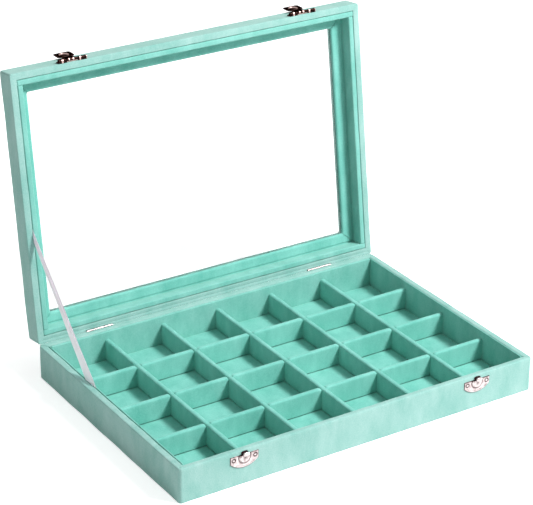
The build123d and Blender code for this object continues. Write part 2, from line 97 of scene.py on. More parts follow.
def two_tones(tree, places, tones):
    """One tone up to the first place on the scale, the other from the second place on, and a
    straight run between them."""
    ramp = tree.nodes.new("ShaderNodeValToRGB")
    for stop, place, tone in zip(ramp.color_ramp.elements, places, tones):
        stop.position = place
        stop.color = (*tone, 1)
    return ramp


def lift_surface(tree, shader, noise, strength, distance):
    """Bump: the surface seems to rise with the noise, by strength times distance at most."""
    bump = tree.nodes.new("ShaderNodeBump")
    bump.inputs["Strength"].default_value = strength
    bump.inputs["Distance"].default_value = distance
    tree.links.new(noise.outputs["Fac"], bump.inputs["Height"])
    tree.links.new(bump.outputs["Normal"], shader.inputs["Normal"])


def velvet_finish(name, deep, pale, sheen):
    """Short-pile cloth. Its colour runs from the deep tone to the pale one with broad noise,
    drawn out upright into brushed patches, plus 0.45 of a fine grain. The same grain lifts the
    surface, and the pile shines at a glancing angle."""
    finish, tree, shader = new_finish(name)
    place = tree.nodes.new("ShaderNodeTexCoord")
    brushed = tree.nodes.new("ShaderNodeMapping")
    brushed.inputs["Scale"].default_value = (1, 1, 0.45)
    patches = add_noise(tree, 55, 5, 0.62)
    grain = add_noise(tree, 900, 3)
    mixed = tree.nodes.new("ShaderNodeMath")
    mixed.operation = "MULTIPLY_ADD"
    mixed.inputs[1].default_value = 0.45
    tones = two_tones(tree, (0.42, 1.0), (deep, pale))
    tree.links.new(place.outputs["Object"], brushed.inputs["Vector"])
    tree.links.new(brushed.outputs["Vector"], patches.inputs["Vector"])
    tree.links.new(place.outputs["Object"], grain.inputs["Vector"])
    tree.links.new(grain.outputs["Fac"], mixed.inputs[0])
    tree.links.new(patches.outputs["Fac"], mixed.inputs[2])
    tree.links.new(mixed.outputs["Value"], tones.inputs["Fac"])
    tree.links.new(tones.outputs["Color"], shader.inputs["Base Color"])
    lift_surface(tree, shader, grain, 0.35, 0.0004)
    shader.inputs["Roughness"].default_value = 0.85
    shader.inputs["Specular IOR Level"].default_value = 0.4
    shader.inputs["Sheen Weight"].default_value = sheen
    shader.inputs["Sheen Roughness"].default_value = 0.45
    shader.inputs["Sheen Tint"].default_value = (0.72, 1.0, 0.9, 1)
    return finish


velvet = velvet_finish("sea_green_velvet", (0.165, 0.415, 0.365), (0.36, 0.57, 0.535), 0.6)
# The inner velvet is a deeper, more saturated copy of the same cloth, for the dividers, the floor
# pad and the inner window frame. It is painted shade of the deep compartments and the lid's
# inside, and on the inner frame it also stands for the nap lying the other way.
shaded_inner_velvet = velvet_finish("shaded_inner_velvet", (0.10, 0.42, 0.35), (0.235, 0.60, 0.53), 0.5)


def rounded_section(width, height, radii, spacing=0.004):
    """Points round a rectangle from (0, 0) to (width, height). Each corner is a quarter circle
    of its own radius, in the order (0, 0), (width, 0), (width, height), (0, height)."""
    corners = np.array([(0, 0), (width, 0), (width, height), (0, height)])
    inward = np.array([(1, 1), (-1, 1), (-1, -1), (1, -1)])
    centres = corners + inward * np.array(radii)[:, None]
    turn = np.linspace(0, np.pi / 2, corner_points)
    starts = np.radians([180, 270, 360, 450])
    runs = []
    for number in range(4):
        angle = starts[number] + turn
        arc = centres[number] + radii[number] * np.stack([np.cos(angle), np.sin(angle)], axis=1)
        after = (number + 1) % 4
        far = centres[after] + radii[after] * np.array(
            [np.cos(starts[after]), np.sin(starts[after])])
        gaps = max(int(np.hypot(*(far - arc[-1])) / spacing), 1)
        share = np.linspace(0, 1, gaps + 1)[1:-1, None]
        runs += [arc, arc[-1] + share * (far - arc[-1])]
    return np.concatenate(runs)


def soft_swell(x, y, z, size):
    """Slow ups and downs of hand-laid cloth. It is size times the sum of three terms: two long
    waves multiplied, 0.7 of one slanting wave, and 0.5 of two short waves multiplied."""
    return size * (np.sin(190 * x + 60 * z) * np.cos(130 * y + 1.3) + 0.7 * np.sin(
        95 * y + 170 * z + 0.4) + 0.5 * np.sin(420 * x + 1.1) * np.sin(380 * y + 210 * z))


def tube_faces(points, closed=False):
    """Quads between neighbouring rings of points, with a flat face over each end unless the
    rings close on themselves. They are turned so that the volume inside is positive."""
    count, around = points.shape[:2]
    ring = np.arange(around)
    after = np.roll(ring, -1)
    first = (np.arange(count if closed else count - 1) * around)[:, None]
    second = (first + around) % (count * around)
    quads = np.stack([first + ring, first + after, second + after, second + ring],
                     axis=-1).reshape(-1, 4)
    flat = points.reshape(-1, 3)
    a, b, c, d = (flat[quads[:, i]] - flat.mean(axis=0) for i in range(4))
    volume = np.sum(np.cross(c - a, d - b) * (a + b + c + d))
    faces = quads.tolist()
    if not closed:
        faces += [ring[::-1].tolist(), ((count - 1) * around + ring).tolist()]
    return faces if volume > 0 else [face[::-1] for face in faces]


def add_piece(name, groups, finish, body, replaced):
    """Joins groups of points and faces into one smooth piece, which stands for the replaced
    nodes and moves with its body. An edge of more than 50 degrees stays sharp."""
    points, faces, start = [], [], 0
    for some_points, some_faces in groups:
        flat = some_points.reshape(-1, 3)
        points.append(flat)
        faces += [[start + corner for corner in face] for face in some_faces]
        start += len(flat)
    mesh = bpy.data.meshes.new(name)
    mesh.from_pydata(np.concatenate(points).tolist(), [], faces)
    mesh.polygons.foreach_set("use_smooth", [True] * len(faces))
    mesh.materials.append(finish)
    mesh.update()
    mesh.set_sharp_from_angle(angle=np.radians(50))
    piece = bpy.data.objects.new(name, mesh)
    bpy.context.scene.collection.objects.link(piece)
    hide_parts(*replaced)
    if body:
        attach(piece, body)
    return piece


def drawn_in(count, last, before):
    """Nought for each of count rings, but for the two at either end: the last ring and the one
    before it are drawn in towards their middle by these shares."""
    share = np.zeros(count)
    share[[0, -1]] = last
    share[[1, -2]] = before
    return share


def mitred_board(half_length, corner_radius, section):
    """A section carried along a board. A point n deep in the section runs straight, then
    follows the corner's arc of radius (corner_radius - n) to the 45 degree mitre, where the
    cloth is drawn in a little. Returns distance along, depth from outside, and height."""
    depth, height = section[:, 0], section[:, 1]
    arc = np.maximum(corner_radius - depth, 0.00005)
    straight = half_length - depth - arc
    evenly = np.linspace(-1, 1, int(2 * half_length / 0.003))
    from_end = np.array([0.0002, 0.0004, 0.0005, 0.0006, 0.0007, 0.0008, 0.0011])
    close = 1 - from_end / half_length
    share = np.sort(np.concatenate([evenly, close, -close]))[:, None]
    turn = np.radians([5, 15, 25, 34, 40, 43, 45])[:, None]
    along = np.concatenate([-straight - arc * np.sin(turn[::-1]), share * straight,
                            straight + arc * np.sin(turn)])
    lift = arc * (1 - np.cos(turn))
    deep = np.concatenate([depth + lift[::-1], depth + 0 * share, depth + lift])
    middle = section.mean(axis=0)
    pull = drawn_in(len(along), 0.07, 0.02)[:, None]
    deep = deep + pull * (middle[0] - depth)
    high = height + pull * (middle[1] - height) + 0 * along
    return along, deep, high


def onto_side(side, along, deep):
    """Where a board's length and depth lie in the case's own X and Y."""
    if side == "front":
        return along, deep - case_half_depth
    if side == "back":
        return -along, case_half_depth - deep
    if side == "left":
        return deep - case_half_width, -along
    return case_half_width - deep, along


def clothed(side, section, along, deep, high, swell, shift=0):
    """Lays a board on its side of the case, its skin moved by the cloth's swell square to the
    section's outline. The outline's way at a point is from the point before it to the one
    after. Shift moves the swell's pattern in height. Returns X, Y and height."""
    way = np.roll(section, -1, axis=0) - np.roll(section, 1, axis=0)
    way = way / np.linalg.norm(way, axis=1)[:, None]
    x, y = onto_side(side, along, deep)
    move = soft_swell(x, y, high + shift, swell)
    x, y = onto_side(side, along, deep + move * way[:, 1])
    return x, y, high - move * way[:, 0]


def clear_of_barrels(x, y, z):
    """Presses the cloth straight back from the hinge axis to a radius of 1.4 mm where the
    barrels lie. Along X each barrel's share is half of (1 - tanh), so that it ends softly."""
    span = sum(0.5 - 0.5 * np.tanh((np.abs(x - place) - barrel_half) / barrel_blend / 2)
               for place in hinge_places)
    dy, dz = y - hinge_axis[0], z - hinge_axis[1]
    far = np.sqrt(dy ** 2 + dz ** 2)
    push = np.maximum(barrel_clear - far, 0) / np.maximum(far, 0.0002) * span
    return y + push * dy, z + push * dz


for side, outer_rim, inner_rim, proud, swell in (
        ("front", 0.0016, 0.0024, 0, 0.00012), ("back", 0.0003, 0.0012, 0.00018, 0.00003),
        ("left", 0.0012, 0.0012, 0, 0.00012), ("right", 0.0012, 0.0012, 0, 0.00012)):
    half = case_half_width if side in ("front", "back") else case_half_depth
    section = rounded_section(board, tray_height + proud, (0.001, 0.0003, inner_rim, outer_rim))
    along, deep, high = mitred_board(half, tray_corner, section)
    x, y, high = clothed(side, section, along, deep, high, swell)
    if side == "back":
        y, high = clear_of_barrels(x, y, high)
    points = np.stack([x, y, high], axis=-1)
    add_piece("velvet_tray_" + side + "_wall", [(points, tube_faces(points))], velvet,
              "tray", ["tray_" + side + "_wall"])

# The tray's bottom board: a thin board let in between the four walls and flush with them
# underneath. The same velvet is glued to its underside and softens its edges.
floor_low, floor_top = 0.003, 0.005
inside_x = case_half_width - board
inside_y = case_half_depth - board
bottom_gap, bottom_edge = 0.0002, 0.0005
section = rounded_section(2 * inside_x - 2 * bottom_gap, floor_low, (bottom_edge,) * 4,
                          spacing=0.02)
share = np.linspace(-1, 1, 60)[:, None]
points = np.stack([section[:, 0] - inside_x + bottom_gap + 0 * share,
                   share * (inside_y - bottom_gap) + 0 * section[:, 0],
                   section[:, 1] + 0 * share], axis=-1)
add_piece("velvet_tray_bottom", [(points, tube_faces(points))], velvet, "tray",
          ["tray_bottom_board"])

# The tray's liner strips: thin card wrapped in velvet, glued inside the left, right and back
# walls. A fine open seam is left between their rounded tops and the walls' rims.
side_liner, back_liner, liner_seam = 0.0016, 0.0034, 0.00035
cell_x = inside_x - side_liner
cell_back, cell_front = inside_y - back_liner, -inside_y
# The liners' velvet is a third copy of the same cloth, with tones between the outer and the inner
# velvet. It is painted shade on the liners' inner faces, in the tray and in the lid.
shaded_liner_velvet = velvet_finish("shaded_liner_velvet", (0.115, 0.42, 0.352), (0.26, 0.585, 0.525), 0.5)


def straight_strip(half_length, section):
    """A section carried straight along a strip. The last rings at each end are drawn in, like a
    turned edge. Returns distance along, depth from outside, and height."""
    ends = np.array([0.0, 0.0003, 0.0008])
    middle = np.linspace(-half_length + 0.0016, half_length - 0.0016, int(2 * half_length / 0.003))
    along = np.concatenate([-half_length + ends, middle, half_length - ends[::-1]])[:, None]
    pull = drawn_in(len(along), 0.12, 0.03)[:, None, None]
    shown = section + pull * (section.mean(axis=0) - section)
    return along + 0 * section[:, 0], shown[..., 0], shown[..., 1]


for side, thick, half, top_radius in (("left", side_liner, inside_y - 0.0002, 0.0006),
                                      ("right", side_liner, inside_y - 0.0002, 0.0006),
                                      ("back", back_liner, cell_x, 0.0008)):
    section = rounded_section(thick - liner_seam, tray_height - floor_low,
                              (0.0002, 0.0002, 0.0006, top_radius))
    along, deep, high = straight_strip(half, section)
    x, y, high = clothed(side, section, along, deep + board + liner_seam, high + floor_low,
                         0.00006)
    points = np.stack([x, y, high], axis=-1)
    add_piece("velvet_tray_" + side + "_liner", [(points, tube_faces(points))], shaded_liner_velvet,
              "tray", ["tray_" + side + "_liner"])

# The dividers: velvet-wrapped strips of board that lap by half their height where they cross.
# The columns are slotted from below and the rows from above, so a row's soft top dips into
# each column that it meets.
divider, divider_top, divider_rim = 0.0046, 0.0245, 0.0019
divider_tall = divider_top - floor_top
column_step, row_step, rows_shift = 0.0565, 0.0572, -0.0017
column_places = np.arange(-2, 3) * column_step
row_places = rows_shift + np.arange(-1, 2) * row_step
slot_half, dip_start, dip_run, dip_deep, far_dip = 0.00241, 0.0045, 0.0021, 0.0011, 0.3
divider_play, divider_swell, swell_reach = 0.0001, 0.0001, 0.003


def lapped_divider(low, high, crossings, slot_from_top):
    """A rounded-top strip from low to high. Over each crossing half its height is cut away,
    from its top or its bottom. From 4.5 to 2.4 mm off a crossing its top sinks with the square
    of the way, by 1.1 mm if slotted from the top and 0.3 of that if not, and lower points sink
    less, with the square of their height. Returns distance along, across, and height."""
    section = rounded_section(divider, divider_tall, (0.0002, 0.0002, divider_rim, divider_rim))
    nearing = np.array([-0.0060, -0.0042, -0.0033, -0.0027, -0.00245, -0.00242, -0.0024])
    marks = (crossings[:, None] + np.concatenate([nearing, -nearing[::-1]])).ravel()
    plain = np.arange(low + 0.001, high - 0.0008, 0.0034)
    plain = plain[np.min(np.abs(plain[:, None] - crossings), axis=1) >= 0.0065]
    ends = [low, low + 0.0003, high - 0.0003, high]
    along = np.sort(np.concatenate([plain, marks, ends]))
    gap = np.min(np.abs(along[:, None] - crossings), axis=1)[:, None]
    dip = dip_deep * np.clip((dip_start - gap) / dip_run, 0, 1) ** 2
    dip = dip if slot_from_top else far_dip * dip
    tall = section[:, 1] + 0 * along[:, None]
    lapped = np.minimum if slot_from_top else np.maximum
    tall = np.where(gap < slot_half, lapped(tall, divider_tall / 2),
                    tall - dip * (tall / divider_tall) ** 2)
    wide = section[:, 0] - divider / 2 + 0 * along[:, None]
    return along[:, None] + 0 * tall, wide, tall + floor_top


for kind, places, low, high, crossings in (
        ("column", column_places, cell_front, cell_back, row_places),
        ("row", row_places, -cell_x, cell_x, column_places)):
    for number, place in enumerate(places, 1):
        along, wide, tall = lapped_divider(low + divider_play, high - divider_play, crossings,
                                           kind == "row")
        x, y = (place + wide, along) if kind == "column" else (along, place + wide)
        fuller = place + wide * (1 + soft_swell(x, y, tall, divider_swell) / swell_reach)
        x, y = (fuller, along) if kind == "column" else (along, fuller)
        points = np.stack([x, y, tall], axis=-1)
        node = "%s_divider_%d" % (kind, number)
        add_piece("velvet_" + node, [(points, tube_faces(points))], shaded_inner_velvet,
                  "tray", [node])

# The floor pad: velvet over thin card, laid on the bottom board. The dividers and the liners
# press it down, which leaves a soft edge and a dark line round each compartment's floor. Its top
# falls along a quarter ellipse, 1.1 mm deep, over the last 1.2 mm.
pad_fall, pad_roll, pad_swell = 0.0011, 0.0012, 0.00008
edges_x = np.concatenate([[-cell_x], column_places, [cell_x]])
edges_y = np.concatenate([[cell_front], row_places, [cell_back]])


def pad_stops(edges):
    """Grid stops that gather near each divider and each end."""
    near = np.array([0, 0.0023, 0.0026, 0.0030, 0.0036, 0.0046, 0.0070])
    stops = [low + near for low in edges[:-1]] + [high - near[::-1] for high in edges[1:]]
    stops += [np.linspace(low + 0.011, high - 0.011, 8) for low, high in zip(edges, edges[1:])]
    return np.unique(np.round(np.concatenate(stops), 6))


def grid_corners(shape):
    """The numbers of the four corners of each square in a grid of points, in turn round it."""
    index = np.arange(shape[0] * shape[1]).reshape(shape)
    return index[:-1, :-1], index[1:, :-1], index[1:, 1:], index[:-1, 1:]


grid_x, grid_y = np.meshgrid(pad_stops(edges_x), pad_stops(edges_y), indexing="ij")
to_columns = np.min(np.abs(grid_x[..., None] - column_places), axis=-1) - divider / 2
to_rows = np.min(np.abs(grid_y[..., None] - row_places), axis=-1) - divider / 2
to_ends = np.minimum(grid_y - cell_front, cell_back - grid_y)
to_sides = np.minimum(cell_x - np.abs(grid_x), to_ends)
to_edge = np.minimum(np.minimum(to_columns, to_rows), to_sides)
to_edge = np.clip(to_edge, 0, pad_roll) / pad_roll
pad_top = floor_top - pad_fall * (1 - np.sqrt(1 - (1 - to_edge) ** 2)) + soft_swell(
    grid_x * 1.4, grid_y * 1.2, 0.02, pad_swell)
top_points = np.stack([grid_x, grid_y, pad_top], axis=-1).reshape(-1, 3)
low_points = np.stack([grid_x, grid_y, np.full_like(pad_top, floor_low)],
                      axis=-1).reshape(-1, 3)
under = grid_x.size
index = np.arange(under).reshape(grid_x.shape)
quads = np.stack(grid_corners(grid_x.shape), axis=-1).reshape(-1, 4)
rim = np.concatenate([index[:, 0], index[-1, 1:], index[-2::-1, -1], index[0, -2:0:-1]])
rim_after = np.roll(rim, -1)
skirt = np.stack([rim, rim + under, rim_after + under, rim_after], axis=-1)
pad_faces = quads.tolist() + (quads[:, ::-1] + under).tolist() + skirt.tolist()
add_piece("velvet_floor_pad", [(np.concatenate([top_points, low_points]), pad_faces)],
          shaded_inner_velvet, "tray", ["tray_floor_pad"])

# The lid's four rails: the same velvet-wrapped board, mitred, standing open at 98 degrees.
# Their rims are a little sharper. A fold of the velvet crosses the side rails' outer faces close
# to the back, and runs on along the rim of the back rail.
lid_height, lid_corner = 0.020, 0.0020
lid_middle = np.array([0, 0.136849, 0.150461])
lid_across = np.array([1.0, 0, 0])
lid_back = np.array([0, -0.139173, -0.990268])
lid_out = np.array([0, 0.990268, -0.139173])
hem_deep, hem_wide, hem_points, outermost = 0.0004, 0.00022, 9, 0.0002
hem = case_half_depth - lid_corner - 0.0006


def in_lid(x, y, h):
    """World points of the lid's own X, Y towards the hinges and H from its rim outwards."""
    x, y, h = np.asarray(x), np.asarray(y), np.asarray(h)
    return (lid_middle + x[..., None] * lid_across + y[..., None] * lid_back
            + h[..., None] * lid_out)


def hem_fold(y):
    """How far the cloth is drawn in at Y: a bell-shaped groove, 0.4 mm deep, along the hem."""
    return hem_deep * np.exp(-((y - hem) / hem_wide) ** 2)


for side, outer_rim, proud, swell in (
        ("front", 0.0008, 0, 0.0001), ("back", 0.00025, 0.00022, 0.00003),
        ("left", 0.0008, 0, 0.0001), ("right", 0.0008, 0, 0.0001)):
    half = case_half_width if side in ("front", "back") else case_half_depth
    section = rounded_section(board + proud, lid_height, (outer_rim, 0.0006, 0.0002, 0.0022),
                              spacing=0.002) - np.array([proud, 0])
    if side == "back":
        finer = case_half_depth - hem + np.linspace(-0.0004, 0.0004, hem_points)
        finer = np.stack([finer, np.zeros(hem_points)], axis=1)
        section = np.concatenate([section[:corner_points], finer, section[corner_points + 1:]])
    along, deep, high = mitred_board(half, lid_corner, section)
    x, y, high = clothed(side, section, along, deep, high, swell, shift=0.05)
    if side == "back":
        high = high + np.where(section[:, 1] < outermost, hem_fold(y), 0)
    else:
        x = x - np.sign(x) * np.where(section[:, 0] < outermost, hem_fold(y), 0)
    points = in_lid(x, y, high)
    if side == "back":
        points[..., 1], points[..., 2] = clear_of_barrels(points[..., 0], points[..., 1],
                                                          points[..., 2])
    add_piece("velvet_lid_" + side + "_rail", [(points, tube_faces(points))], velvet,
              "lid", ["lid_" + side + "_rail"])

# The lid's liner strips: thicker velvet-wrapped card, glued inside the rails with a fine open
# seam. The front and back strips run the whole width and the side strips butt between them.
lid_liner, lid_liner_height, lid_liner_seam = 0.0052, 0.0118, 0.0004
for side in ("front", "back", "left", "right"):
    half = inside_x - 0.0001 if side in ("front", "back") else inside_y - lid_liner
    section = rounded_section(lid_liner - lid_liner_seam, lid_liner_height,
                              (0.0009, 0.0011, 0.0003, 0.0002))
    along, deep, high = straight_strip(half, section)
    x, y, high = clothed(side, section, along, deep + board + lid_liner_seam, high, 0.00008,
                         shift=0.07)
    points = in_lid(x, y, high)
    add_piece("velvet_lid_" + side + "_liner", [(points, tube_faces(points))], shaded_liner_velvet,
              "lid", ["lid_" + side + "_liner"])

# The two window frames: flat velvet-covered boards that hold the glass between them, one seen
# from inside the lid and one from outside. Their velvet is cut and turned at the corners.
window_half = np.array([0.1535, 0.0985])
window_shift = np.array([-0.0016, 0])
window_corner = 0.002
face_frame, glass_thick = 0.0035, 0.002
frame_wide, liner_foot, passing = 0.0137, 0.0085, 0.006
inner_rim, outer_rim, back_edge = 0.0017, 0.0008, 0.0002
groove_deep, crease_deep, crease_wide, frame_swell = 0.0005, 0.0012, 0.00045, 0.00008


def window_frame(low, thick, seen_low):
    """A ring ruled from the window's edge out to the rails. At each corner the inner edge turns
    through its arc while the outer edge passes the rails' corner, from 6 mm before it to 6 mm
    after, and straight runs join the corners. The seen face is rounded over at the window and
    sinks in two grooves 6 degrees beside the 45 degree mitre, where the cloth is folded over.
    The frame inside the lid also sinks in a bell-shaped crease along the liner strips' feet."""
    degrees = np.array([0, 12, 24, 32, 36, 39, 42, 45, 48, 51, 54, 58, 66, 78, 90])
    turn = np.radians(degrees)
    pass_by = ((degrees - 45) / 45 * passing)[:, None]
    signs = np.array([(1, -1), (1, 1), (-1, 1), (-1, -1)])
    ways = np.array([(1, 0), (0, 1), (-1, 0), (0, -1), (1, 0)])
    rails = np.array([inside_x, inside_y])
    corners = []
    for number, sign in enumerate(signs):
        centre = sign * (window_half - window_corner) + window_shift
        angle = turn + np.radians(90 * number - 90)
        inner = centre + window_corner * np.stack([np.cos(angle), np.sin(angle)], axis=1)
        outer = (sign * rails + np.minimum(pass_by, 0) * ways[number]
                 + np.maximum(pass_by, 0) * ways[number + 1])
        corners.append(np.stack([inner, outer], axis=1))
    stations, mitre = [], []
    for corner, after in zip(corners, corners[1:] + corners[:1]):
        run = after[0] - corner[-1]
        share = np.linspace(0, 1, int(np.hypot(*run[0]) / 0.004))[1:-1, None, None]
        stations += [corner, corner[-1] + share * run]
        mitre += [np.abs(np.abs(degrees - 45) - 6) < 0.1, np.zeros(len(share), bool)]
    stations, mitre = np.concatenate(stations), np.concatenate(mitre)[:, None]

    # The section is worked out at its full width. Its part up to the liner's foot is stretched
    # to where each station meets that foot, and its part beyond over what remains.
    rims = (inner_rim, back_edge) if seen_low else (back_edge, outer_rim)
    section = rounded_section(frame_wide, thick, (rims[0], back_edge, back_edge, rims[1]),
                              spacing=0.0005)
    width = section[:, 0]
    start, end = np.abs(stations[:, 0]), np.abs(stations[:, 1])
    reach = np.maximum(end - start, 0.000001)
    met = np.where(reach > 0.0005, (rails - lid_liner - start) / reach, 1)
    met = np.clip(np.min(met, axis=1), 0.3, 0.9)[:, None]
    share = (np.minimum(width, liner_foot) / liner_foot * met
             + np.maximum(width - liner_foot, 0) / (frame_wide - liner_foot) * (1 - met))
    flat = stations[:, :1] * (1 - share[..., None]) + stations[:, 1:] * share[..., None]

    lower = section[:, 1] < thick / 2
    groove = mitre * (lower == seen_low) * (groove_deep if seen_low else -groove_deep)
    from_crease = width - liner_foot + 0.0004
    crease = crease_deep * np.exp(-(from_crease / crease_wide) ** 2) * seen_low
    high = low + section[:, 1] + groove + crease * lower
    high = high + soft_swell(flat[..., 0], flat[..., 1], 0.1, frame_swell)
    points = in_lid(flat[..., 0], flat[..., 1], high)
    return points, tube_faces(points, closed=True)


add_piece("velvet_outer_window_frame", [window_frame(lid_height - face_frame, face_frame, False)],
          velvet, "lid", ["lid_face_frame"])
retaining = lid_height - face_frame - glass_thick - lid_liner_height
add_piece("velvet_inner_window_frame", [window_frame(lid_liner_height, retaining, True)],
          shaded_inner_velvet, "lid", ["glass_retaining_frame"])

# The pane: clear window glass, two millimetres thick and polished on both faces. It lies in the
# lid between the two frames, which hold it all round.
pane_finish, tree, shader = new_finish("clear_pane")
shader.inputs["Base Color"].default_value = (0.955, 0.965, 0.962, 1)
shader.inputs["Transmission Weight"].default_value = 1
shader.inputs["Roughness"].default_value = 0.0
shader.inputs["IOR"].default_value = 1.5


def give_finish(finish, names):
    """Puts one finish on every slot of the named nodes."""
    for name in names:
        for finish_slot in nodes[name].material_slots:
            finish_slot.material = finish


give_finish(pane_finish, ["glass_pane"])

# The ribbon stay: a pale satin ribbon 15 mm wide that keeps the open lid from falling back.
# It is tucked almost flat into the tray's left seam. One edge is folded under, further and
# further, until the ribbon goes doubled into the lid's left seam.
ribbon_x, tray_end_y, lid_end_y, ripple_high = -0.1685, 0.0375, 0.024, 0.00012
tray_end = np.array([tray_end_y, tray_height])
lid_end = (lid_middle + lid_end_y * lid_back)[1:]
ribbon_run = lid_end - tray_end
ribbon_free = np.hypot(*ribbon_run)
ribbon_way = ribbon_run / ribbon_free
ribbon_side = np.array([-ribbon_way[1], ribbon_way[0]])
tuck, ribbon_wide, fold_radius = 0.007, 0.015, 0.00012


def folded_ribbon(along, across):
    """Width across runs flat to the fold, turns a half circle of the fold's radius, and comes
    back behind. The folded part grows with the 0.75th power of the way up, to half the width.
    A slow sine wave along the ribbon, nought at both ends, lifts it by up to 0.12 mm."""
    climbed = np.clip(along / ribbon_free, 0.0001, 1)
    folded = (ribbon_wide / 2) * climbed ** 0.75
    shown = ribbon_wide - folded
    past = np.maximum(across - shown, 0)
    bend = np.minimum(past / fold_radius, np.pi)
    back = np.maximum(past - np.pi * fold_radius, 0)
    in_plane = np.minimum(across, shown) + fold_radius * np.sin(bend) - back - shown / 2
    behind = fold_radius * (1 - np.cos(bend))
    ripple = ripple_high * np.sin(along * 95 + 0.6) * np.sin(np.pi * climbed)
    y_z = tray_end + along[..., None] * ribbon_way + in_plane[..., None] * ribbon_side
    return np.stack([ribbon_x - behind + ripple, y_z[..., 0], y_z[..., 1]], axis=-1)


along, across = np.meshgrid(np.linspace(-tuck, ribbon_free + tuck, 150),
                            np.linspace(0, ribbon_wide, 79), indexing="ij")
ribbon_faces = np.stack(grid_corners(along.shape), axis=-1).reshape(-1, 4).tolist()
satin, tree, shader = new_finish("pale_satin")
place = tree.nodes.new("ShaderNodeTexCoord")
threads = tree.nodes.new("ShaderNodeMapping")
threads.inputs["Scale"].default_value = (1, 0.2, 0.2)
weave = add_noise(tree, 1200, 2)
tones = two_tones(tree, (0, 1), ((0.93, 0.84, 0.93), (1.0, 0.95, 1.0)))
tree.links.new(place.outputs["Object"], threads.inputs["Vector"])
tree.links.new(threads.outputs["Vector"], weave.inputs["Vector"])
tree.links.new(weave.outputs["Fac"], tones.inputs["Fac"])
tree.links.new(tones.outputs["Color"], shader.inputs["Base Color"])
lift_surface(tree, shader, weave, 0.25, 0.0002)
shader.inputs["Roughness"].default_value = 1.0
shader.inputs["Transmission Weight"].default_value = 0.35
shader.inputs["IOR"].default_value = 1.4
shader.inputs["Sheen Weight"].default_value = 1.0
ribbon = add_piece("satin_ribbon_stay", [(folded_ribbon(along, across), ribbon_faces)], satin,
                   None, ["ribbon_stay"])
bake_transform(ribbon)

# The hinges: nickel-plated sheet wrapped round a wire pin, nailed to the two back boards with
# small round-headed nails. The sheet's leaves hide behind the boards and the barrel shows. The
# plate is dulled by smoky marks.
# The dark tone of the nickel's painted marks. It is painted shade and painted dark reflection,
# with a little tarnish.
tarnish_and_painted_shade = (0.035, 0.012, 0.014)


def plated_finish(name, base, smoky, aged_and_painted_tone, rough):
    """Polished plate. One fine noise of handling marks runs its colour from smoky to base and
    its roughness from 0.7 to 1.4 times rough, and dents it a little. Where the piece's own
    painted-light attribute is 1, the second tone takes over. This is painted light, dark on the
    catches and bright on the clasps and hasps, with some wear and tarnish."""
    finish, tree, shader = new_finish(name)
    place = tree.nodes.new("ShaderNodeTexCoord")
    marks = add_noise(tree, 420, 4)
    tones = two_tones(tree, (0.3, 0.7), (smoky, base))
    painted_light_and_wear = tree.nodes.new("ShaderNodeAttribute")
    painted_light_and_wear.attribute_name = "painted_light_and_wear"
    mixed = tree.nodes.new("ShaderNodeMix")
    mixed.data_type = "RGBA"
    mixed.inputs["B"].default_value = (*aged_and_painted_tone, 1)
    gloss = tree.nodes.new("ShaderNodeMapRange")
    gloss.inputs["To Min"].default_value = rough * 0.7
    gloss.inputs["To Max"].default_value = rough * 1.4
    tree.links.new(place.outputs["Object"], marks.inputs["Vector"])
    tree.links.new(marks.outputs["Fac"], tones.inputs["Fac"])
    tree.links.new(marks.outputs["Fac"], gloss.inputs["Value"])
    tree.links.new(painted_light_and_wear.outputs["Fac"], mixed.inputs["Factor"])
    tree.links.new(tones.outputs["Color"], mixed.inputs["A"])
    tree.links.new(mixed.outputs["Result"], shader.inputs["Base Color"])
    tree.links.new(gloss.outputs["Result"], shader.inputs["Roughness"])
    lift_surface(tree, shader, marks, 0.2, 0.0003)
    shader.inputs["Metallic"].default_value = 1
    return finish


dull_nickel = plated_finish("dull_nickel_plate", (0.60, 0.54, 0.53), (0.13, 0.10, 0.10),
                            tarnish_and_painted_shade, 0.32)
give_finish(dull_nickel, [name for name in nodes if "hinge" in name])

# The catches: nickel-plated half moons of pressed sheet, nailed to the tray's front wall with
# the straight edge up. A bead runs round inside the edge, and a boss carries the knob, a small
# rounded block that stands in the hasp's window when the tray is shut.
nickel = plated_finish("bright_nickel_plate", (0.76, 0.68, 0.68), (0.42, 0.33, 0.33),
                       tarnish_and_painted_shade, 0.22)
give_finish(nickel, ["catch_nails"])
clasp_places = (("left", -0.1155), ("right", 0.1155))
sheet_thick, sheet_edge, nail_side = 0.0006, 0.0002, 0.010
bead_in, bead_high, bead_wide = 0.0015, 0.0003, 0.0004
catch_half, catch_end, catch_tall = 0.01325, 0.0065, 0.012
catch_top, catch_nail_drop, boss_drop, knob_rise = 0.0275, 0.0032, 0.0025, 0.0015
boss_radius, boss_slope, boss_high = 0.0050, 0.0008, 0.0010
lip_radius, groove_radius, boss_ring_high = 0.0038, 0.0056, 0.0002


def half_moon(half, end, tall, notch):
    """A grid over a half moon with its straight edge along 0. An arc rises from the height end
    at both sides to the height tall in the middle. Rows up to the notch height run straight,
    and further rows share the rest. Returns across, up and the distance from the outline."""
    radius = (tall - end) / 2 + half ** 2 / (2 * (tall - end))
    across = np.linspace(-half, half, 100)[:, None]
    arc = tall - radius + np.sqrt(radius ** 2 - across ** 2)
    share = np.linspace(0, 1, 46)[1:]
    up = np.concatenate([np.linspace(0, notch, 7) + 0 * arc, notch + share * (arc - notch)],
                        axis=1)
    across = across + 0 * up
    edge = np.minimum(np.minimum(up, half - np.abs(across)),
                      (arc - up) * np.sqrt(1 - (across / radius) ** 2))
    return across, up, edge


def ring(distance, place, width):
    """A bell of height 1 where the distance equals place."""
    return np.exp(-((distance - place) / width) ** 2)


